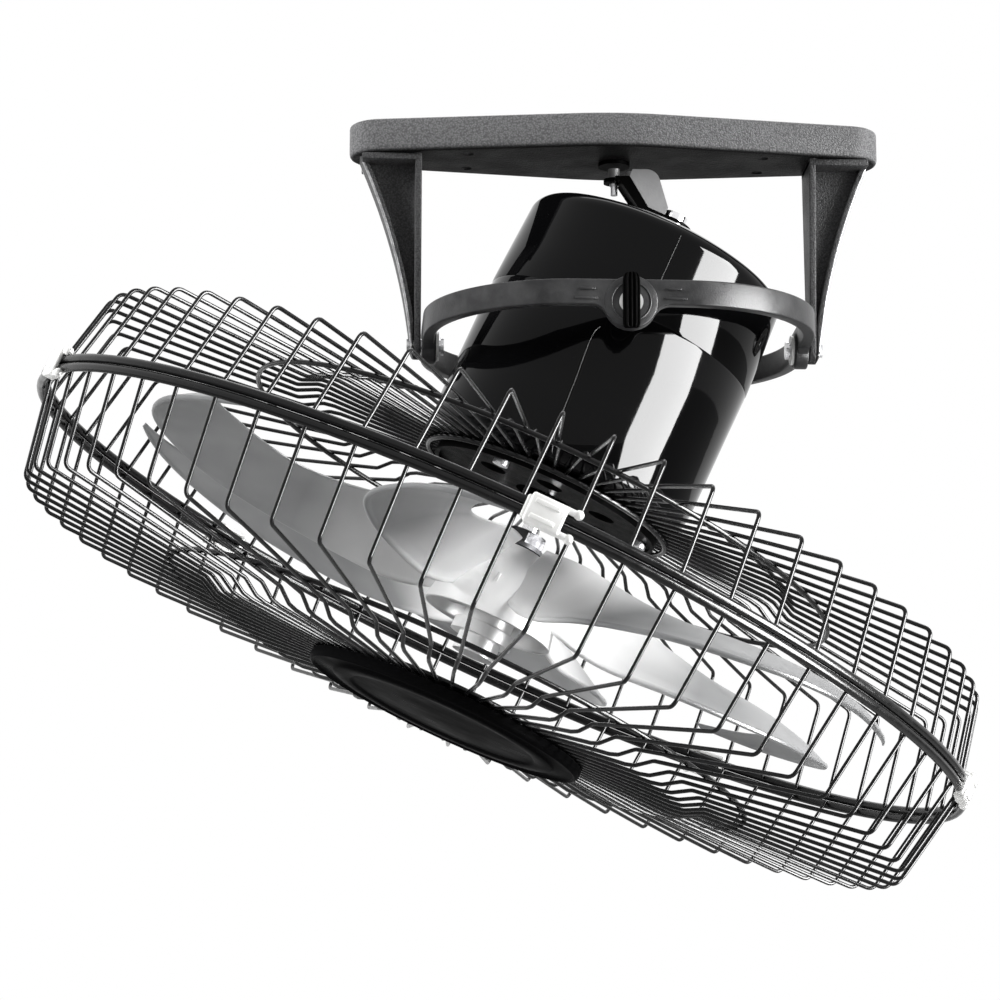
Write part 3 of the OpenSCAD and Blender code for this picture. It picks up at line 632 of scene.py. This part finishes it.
def motorBody():
    face, skirt, wall = housing["face"], housing["skirt"], housing["wall"]
    small, large = housing["faceRadius"], housing["radius"]
    rim = large + housing["flare"]
    swell = [(small + (large - small) * math.sin(turn), skirt - (skirt - face - 1.2) * math.cos(turn))
             for turn in (math.radians(step * 6) for step in range(16))]
    builder = bmesh.new()
    lathe(builder, [(housing["hole"], face), (small - 2, face), (small - 0.6, face + 0.4)] + swell
          + [(large + 0.1, -20), (rim - 0.1, housing["joint"] - 1.2), (rim - 0.4, housing["joint"] - 0.1),
             (rim - wall, housing["joint"] - 0.1), (large - wall, -20)]
          + [(reach - wall, height + 1) for reach, height in swell[::-1]]
          + [(small - wall - 1, face + wall), (housing["hole"], face + wall)], 160)
    for side in (90, -90):                # trunnions that turn in the ring
        pin = bmesh.new()
        lathe(pin, [(0.05, housing["lugStart"]), (housing["lug"], housing["lugStart"]),
                    (housing["lug"], housing["lugEnd"] - 0.5), (housing["lug"] - 0.5, housing["lugEnd"]),
                    (housing["pin"], housing["lugEnd"]), (housing["pin"], housing["pinEnd"] - 0.4),
                    (housing["pin"] - 0.4, housing["pinEnd"]), (0.05, housing["pinEnd"])], 40)
        addPart(builder, pin, spun("X", side))
    return newPiece("motor_body", builder, "gloss_black", "head", ["motor_housing"], inMm(toHead), 0.5)


def motorCover():
    wall, joint, crown, top = housing["wall"], housing["joint"], housing["crown"], housing["top"]
    side, bend = housing["side"], housing["shoulder"]
    rim = housing["radius"] + housing["flare"]
    lift = top - crown + math.sqrt((crown - bend) ** 2 - (side - bend) ** 2)
    meet = math.degrees(math.acos((side - bend) / (crown - bend)))
    collarFoot = top - crown + math.sqrt(crown ** 2 - (housing["collar"] + 1.4) ** 2)

    def outline(inset):
        return ([(rim - inset, joint + 1.2), (rim - 0.7 - inset, joint + 18)]
                + arcPoints(side - bend, lift, bend - inset, 0, meet, 10)
                + arcPoints(0, top - crown, crown - inset, meet + 1.5, 86, 8))

    builder = bmesh.new()
    collar = [(housing["collar"] + 1.4, collarFoot), (housing["collar"] + 0.4, collarFoot + 0.3),
              (housing["collar"], collarFoot + 1), (housing["collar"], housing["collarTop"] - 0.5),
              (housing["collar"] - 0.5, housing["collarTop"]), (housing["bore"], housing["collarTop"]),
              (housing["bore"], top - wall)]
    lathe(builder, [(rim - wall, joint), (rim - 0.4, joint)] + outline(0)[:-1] + collar
          + outline(wall)[::-1][1:], 160)
    return newPiece("motor_cover", builder, "gloss_black", "head", ["rear_cover"], inMm(toHead), 0.5)


body = motorBody()
cover = motorCover()


# dark lines where the mouldings part: height on the fan axis in mm, bearing in degrees
parting = {"thick": 0.22, "cover": [(51.2, 6.2), (45.2, 6.5), (37.2, 6.5), (29.2, 6.5), (22.2, 6.5)],
           "body": [(-10.5, -7.7), (-17.4, -9.1), (-38.8, -7.8), (-65.5, -6.3), (-77.6, -4)]}


def partingLine(name, shell, rows):
    line = []
    inward = toHead.inverted()
    for step in range(41):
        height, bearing = curveAt(rows, step / 40)
        turn = math.radians(bearing)
        out = toHead.to_3x3() @ Vector((math.sin(turn), -math.cos(turn), 0))
        center = toHead @ Vector((0, 0, height * mm))
        hit, spot, _, _ = shell.ray_cast(center + out * 0.12, -out)
        if hit:
            line.append(inward @ spot / mm)
    builder = bmesh.new()
    sweep(builder, line, parting["thick"], 8, Vector((1, 0, 0)))
    return newPiece(name, builder, "gloss_black", "head", (), inMm(toHead), 0.8)


partingLine("parting_cover", cover, parting["cover"])
partingLine("parting_body", body, parting["body"])


print("gimbal ring")
ring = {"half": 97.7, "corner": 72, "thick": 6, "low": -1.25, "high": 11.25, "lobe": 13, "fillet": 9,
        "sideLobe": 9.5, "sideFillet": 5, "inner": 90.7, "outer": 98.15, "edge": 0.9, "hole": 5.85}


def lowerEdge(across, lobe, fillet):      # the band's lower edge, carried into the lobe by a hollow fillet
    drop = fillet - ring["low"]
    foot = math.sqrt((lobe + fillet) ** 2 - drop ** 2)
    if abs(across) >= foot:
        return ring["low"]
    if abs(across) > foot * lobe / (lobe + fillet):
        return -drop + math.sqrt(fillet ** 2 - (foot - abs(across)) ** 2)
    return -math.sqrt(max(0.0, lobe ** 2 - across ** 2)) + 0.15


def ringPath():                           # places round the band: point, direction outwards, lower edge
    straight, corner = ring["half"] - ring["corner"], ring["corner"]
    for quarter in range(4):
        turn = math.radians(90 * quarter)
        out = Vector((math.cos(turn), math.sin(turn), 0))
        along = Vector((-math.sin(turn), math.cos(turn), 0))
        if quarter % 2:
            lobe, fillet = ring["lobe"], ring["fillet"]
        else:
            lobe, fillet = ring["sideLobe"], ring["sideFillet"]
        for step in range(60):
            across = straight * (2 * step / 60 - 1)
            yield out * ring["half"] + along * across, out, lowerEdge(across, lobe, fillet)
        for step in range(28):
            bend = math.radians(90 * step / 28)
            facing = out * math.cos(bend) + along * math.sin(bend)
            yield (out + along) * straight + facing * corner, facing, ring["low"]


def gimbalRing():
    builder = bmesh.new()
    outlines = []
    for place, out, low in ringPath():
        corners = [Vector((0, 0, low)), Vector((0, 0, ring["high"])),
                   Vector((-ring["thick"], 0, ring["high"])), Vector((-ring["thick"], 0, low))]
        outlines.append([place + out * point.x + Vector((0, 0, point.z))
                         for point in roundedLine(corners, [ring["edge"]] * 4, 3, True)])
    loft(builder, outlines, ringed=True)
    for quarter in range(4):
        lobe, outer = (ring["lobe"], ring["outer"]) if quarter % 2 else (ring["sideLobe"], ring["half"])
        disc = bmesh.new()
        lathe(disc, [(ring["hole"], ring["inner"]), (lobe - 0.8, ring["inner"]), (lobe, ring["inner"] + 0.8),
                     (lobe, outer - 0.8), (lobe - 0.25, outer - 0.25), (lobe - 0.8, outer),
                     (ring["hole"], outer)], 72)
        addPart(builder, disc, spun("Z", 90 * quarter) @ spun("Y", 90))
    return newPiece("ring_band", builder, "satin_grey", "ring", ["gimbal_ring"], inMm(toGimbal), 0.6)


gimbalRing()


print("bracket")
plate = {"length": 270, "depth": 71, "end": 17, "middle": 142, "wall": 4, "height": 17, "rib": 3,
         "ribStep": 44, "bolts": [(-75, -13), (-75, 13), (75, -13), (75, 13)], "bolt": 2.75, "boss": 6.25,
         # inset from the outline and height, from the lower edge round to the inside
         "edge": [(3.2, -17), (1.8, -16.85), (0.8, -16.3), (0.2, -15.4), (0, -14.2), (0, -1.4), (0.3, -0.5),
                  (1, 0), (3.6, 0), (4, -0.4), (4, -13)]}


def plateOutline(inset, height):
    ends, half = plate["length"] / 2 - plate["end"], plate["depth"] / 2
    slope = math.degrees(math.atan2(half, ends) - math.asin(plate["end"] / math.hypot(ends, half)))
    center = half - plate["middle"] / math.cos(math.radians(slope))
    small, large = plate["end"] - inset, plate["middle"] - inset
    points = (arcPoints(ends, 0, small, slope - 90, 90 - slope, 20)
              + arcPoints(0, center, large, 90 - slope, 90 + slope, 14)
              + arcPoints(-ends, 0, small, 90 + slope, 270 - slope, 20)
              + arcPoints(0, -center, large, 270 - slope, 270 + slope, 14))
    return [Vector((x, y, height)) for x, y in points]


def ceilingPlate():
    builder = bmesh.new()
    loft(builder, [plateOutline(inset, height) for inset, height in plate["edge"]])
    tray = newPiece("plate_tray", builder, "pebbled_black", "bracket", ["ceiling_plate"], inMm(Matrix()), 0.5)
    drill = bmesh.new()
    for x, y in plate["bolts"]:
        place = Matrix.Translation((x * mm, y * mm, -plate["height"] * mm))
        bmesh.ops.create_cone(drill, cap_ends=True, segments=32, radius1=plate["bolt"] * mm,
                              radius2=plate["bolt"] * mm, depth=0.02, matrix=place)
    mesh = bpy.data.meshes.new("drill")
    drill.to_mesh(mesh)
    drill.free()
    cutter = bpy.data.objects.new("drill", mesh)
    bpy.context.scene.collection.objects.link(cutter)
    holes = tray.modifiers.new("holes", "BOOLEAN")
    holes.object = cutter
    holes.operation = "DIFFERENCE"
    ready = tray.evaluated_get(bpy.context.evaluated_depsgraph_get())
    carved = bpy.data.meshes.new_from_object(ready)
    tray.modifiers.clear()
    tray.data = carved
    bpy.data.objects.remove(cutter)
    return tray


def plateRibs():
    builder = bmesh.new()
    slope = (plate["depth"] / 2 - plate["end"]) / (plate["length"] / 2 - plate["end"])
    reach = plate["length"] / 2 - plate["wall"]
    half, low = plate["rib"] / 2, -plate["height"] + plate["wall"]
    bar(builder, (-reach, -half, low), (reach, half, -0.3), 0.3, 2)
    for step in range(-2, 3):
        across = plate["depth"] / 2 - abs(step) * plate["ribStep"] * slope - plate["wall"] / 2 - 1.5
        middle = step * plate["ribStep"]
        bar(builder, (middle - half, -across, low), (middle + half, across, -0.3), 0.3, 2)
    for x, y in plate["bolts"]:
        boss = bmesh.new()
        lathe(boss, [(plate["bolt"], low - 1), (plate["boss"], low - 1), (plate["boss"], -0.6),
                     (plate["boss"] - 0.5, -0.1), (plate["bolt"] + 0.4, -0.1), (plate["bolt"], -0.5)], 40)
        addPart(builder, boss, Matrix.Translation((x, y, 0)))
    return newPiece("plate_ribs", builder, "pebbled_black", "bracket", (), inMm(Matrix()), 0.6)


ceilingPlate()
plateRibs()


leg = {"inside": 98.4, "tip": 5.5, "lean": 0.1, "flare": 26, "height": 96.9, "flange": 3.4, "web": 2.4,
       "round": 7, "depth": 15, "bead": 8.25, "beadThick": 3.2, "line": 0.75, "steps": 44,
       "foot": 3.5, "footInset": 1.2}


def legOuter(height):
    share = max(0.0, height / leg["height"])
    curve = (leg["flare"] - leg["lean"] * leg["height"]) * share ** 2
    return leg["inside"] + leg["tip"] + leg["lean"] * height + curve


def legSection(height):                   # the leg cut level: inner flange, web and outer bead
    share = max(0.0, height / leg["height"])
    width = leg["round"] + (leg["depth"] - leg["round"]) * share
    if height < 0:
        width = math.sqrt(max(0.6, leg["round"] ** 2 - height ** 2))
    bead, web = min(leg["bead"], width), min(leg["web"], width - 0.5)
    start, end = leg["inside"], legOuter(height)
    if height < -3:
        end -= 1.2 * ((-3 - height) / 4) ** 2
    flange = start + leg["flange"]
    back = max(end - leg["beadThick"], flange + 0.3)
    half = [(start, -width), (flange, -width), (flange, -web), (back, -web), (back, -bead), (end, -bead)]
    corners = [Vector((x, y, height)) for x, y in half + [(x, -y) for x, y in half[::-1]]]
    radii = [0.8, 0.8, 1.6, 1.2, 0.8, 1.3]
    return roundedLine(corners, radii + radii[::-1], 3, True)


def bracketLeg(word, side):
    flip = Matrix.Diagonal((side, 1, 1, 1))
    builder = bmesh.new()
    low = -leg["round"] + 0.05
    heights = [low * math.cos(math.radians(step * 9)) for step in range(10)]
    heights += [leg["height"] * (step + 1) / leg["steps"] for step in range(leg["steps"])]
    loft(builder, [legSection(height) for height in heights])
    bar(builder, (leg["inside"], -leg["depth"], leg["height"] - leg["foot"]),
        (legOuter(leg["height"]) - leg["footInset"], leg["depth"], leg["height"]), 0.7)
    builder.transform(flip)
    # the legs take the copy of the coat that carries painted light and shade
    newPiece(f"leg_casting_{word}", builder, "pebbled_black", "bracket", [f"leg_{word}"], inMm(toGimbal), 0.6,
             "legBlackPaintedLight")
    builder = bmesh.new()                 # thin lines along the outer edges, coloured as a painted highlight
    for face in (-1, 1):
        edge = []
        for step in range(33):
            height = -4 + (leg["height"] + 1) * step / 32
            width = leg["round"] + (leg["depth"] - leg["round"]) * max(0.0, height / leg["height"])
            if height < 0:
                width = math.sqrt(leg["round"] ** 2 - height ** 2)
            edge.append(Vector((legOuter(height) - 0.7, face * (min(leg["bead"], width) - 0.55), height)))
        sweep(builder, edge, leg["line"], 8, Vector((0, 1, 0)))
    builder.transform(flip)
    newPiece(f"leg_edge_highlight_{word}", builder, "pebbled_black", "bracket", (), inMm(toGimbal), 0.8, "paintedEdgeHighlight")


bracketLeg("right", 1)
bracketLeg("left", -1)


# nut and washer behind the hub
nut = {"foot": 28.1, "washer": 30.2, "top": 36.6, "flat": 9.4, "washerRadius": 10.8, "bore": 4.5}


def hubNut():
    builder = bmesh.new()
    lathe(builder, [(nut["bore"], nut["foot"]), (nut["washerRadius"], nut["foot"]),
                    (nut["washerRadius"], nut["washer"] - 0.3), (nut["washerRadius"] - 0.4, nut["washer"]),
                    (nut["bore"], nut["washer"])], 48)
    turns = [math.tau * step / 48 for step in range(48)]

    def ringOf(shrink, height):           # a hexagon, cut by a cone at its top corners
        points = []
        for turn in turns:
            fold = (turn + math.pi / 6) % (math.pi / 3) - math.pi / 6
            reach = min(nut["flat"] / math.cos(fold), (nut["flat"] + 1.2) * shrink)
            points.append(Vector((reach * math.cos(turn), reach * math.sin(turn), height)))
        return points

    bore = [[Vector((nut["bore"] * math.cos(turn), nut["bore"] * math.sin(turn), height)) for turn in turns]
            for height in (nut["top"], nut["washer"])]
    hexagon = [ringOf(1.05, nut["washer"]), ringOf(1.05, nut["top"] - 1.4), ringOf(0.9, nut["top"])]
    loft(builder, hexagon + bore, ringed=True)
    return newPiece("hub_nut", builder, "chrome", "rotor", (), inMm(toRim), 0.4, "nutSteel")


hubNut()
nodes["blade_nut"].data.materials[0] = finishes["blade_grey"]       # as pale as the hub around it


print("floor, light and camera")
studio = {"floorDrop": 2.3, "floorSize": 30, "floorColor": (0.8, 0.8, 0.8), "floorGlow": 0.4, "fill": 0.3,
          "middle": (-0.02, 0, -0.2),
          # bearing from the camera to its right and height in degrees, distance, width, height, watts
          "strip": (58, -8, 2.2, 1.35, 2.4, 800), "key": (74, 20, 2.6, 1.6, 1.2, 120),
          "side": (-78, 24, 2.6, 1.2, 1.2, 95), "top": (170, 60, 2.4, 1.6, 1.6, 20)}


def stagePlane(name, size, where, finish):
    builder = bmesh.new()
    bmesh.ops.create_grid(builder, x_segments=2, y_segments=2, size=size / 2)
    mesh = bpy.data.meshes.new(name)
    builder.to_mesh(mesh)
    builder.free()
    plane = bpy.data.objects.new(name, mesh)
    plane.location = where
    bpy.context.scene.collection.objects.link(plane)
    mesh.materials.append(finish.material)


def softLight(name):
    bearing, rise, distance, width, height, watts = studio[name]
    turn, lift = math.radians(bearing), math.radians(rise)
    middle = Vector(studio["middle"])
    where = middle + distance * Vector((math.sin(turn) * math.cos(lift), -math.cos(turn) * math.cos(lift),
                                        math.sin(lift)))
    lamp = bpy.data.lights.new(name + "Light", "AREA")
    lamp.shape = "RECTANGLE"
    lamp.size = width
    lamp.size_y = height
    lamp.energy = watts
    light = bpy.data.objects.new(name + "Light", lamp)
    light.location = where
    light.rotation_euler = (middle - where).to_track_quat("-Z", "Y").to_euler()
    bpy.context.scene.collection.objects.link(light)
    return light


paper = Finish("floorPaint", studio["floorColor"], 0.9)
paper.shader.inputs["Emission Color"].default_value = (1, 1, 1, 1)
cameraOnly = paper.add("ShaderNodeLightPath", output="Is Camera Ray")       # only the camera sees it so pale
paper.link(cameraOnly * studio["floorGlow"], paper.shader.inputs["Emission Strength"])
stagePlane("floor", studio["floorSize"], (0, 0, -studio["floorDrop"]), paper)

softLight("strip").visible_diffuse = False          # the card that the glossy parts show, and no more light
for name in ("key", "side"):
    softLight(name).visible_glossy = False
softLight("top")

world = bpy.data.worlds.new("studioWorld")
bpy.context.scene.world = world
world.use_nodes = True
sky = Nodes(world.node_tree)
backdrop = sky.tree.nodes["Background"]
backdrop.inputs["Color"].default_value = (1, 1, 1, 1)
seen = sky.add("ShaderNodeLightPath", output="Is Camera Ray")
for kind in ("Is Glossy Ray", "Is Transmission Ray"):
    other = sky.add("ShaderNodeLightPath", output=kind)
    seen = sky.add("ShaderNodeMath", {"operation": "MAXIMUM"}, {0: seen, 1: other})
sky.link(sky.add("ShaderNodeMapRange", inputs={"Value": seen, "To Min": studio["fill"], "To Max": 1.0}),
         backdrop.inputs["Strength"])

lens = {"where": (-0.1439, -1.7423, -0.5258), "pitch": 10.81, "yaw": 2.82, "roll": 0.06, "focal": 127.58}
camera = bpy.data.cameras.new("camera")
camera.lens = lens["focal"]
camera.sensor_width = 36
camera.clip_start = 0.05
cameraObject = bpy.data.objects.new("camera", camera)
cameraObject.location = lens["where"]
facing = spun("Z", -lens["yaw"]) @ spun("X", 90 + lens["pitch"]) @ spun("Z", lens["roll"])
cameraObject.matrix_world = Matrix.Translation(lens["where"]) @ facing
bpy.context.scene.collection.objects.link(cameraObject)
bpy.context.scene.camera = cameraObject
bpy.context.scene.view_settings.view_transform = "Standard"
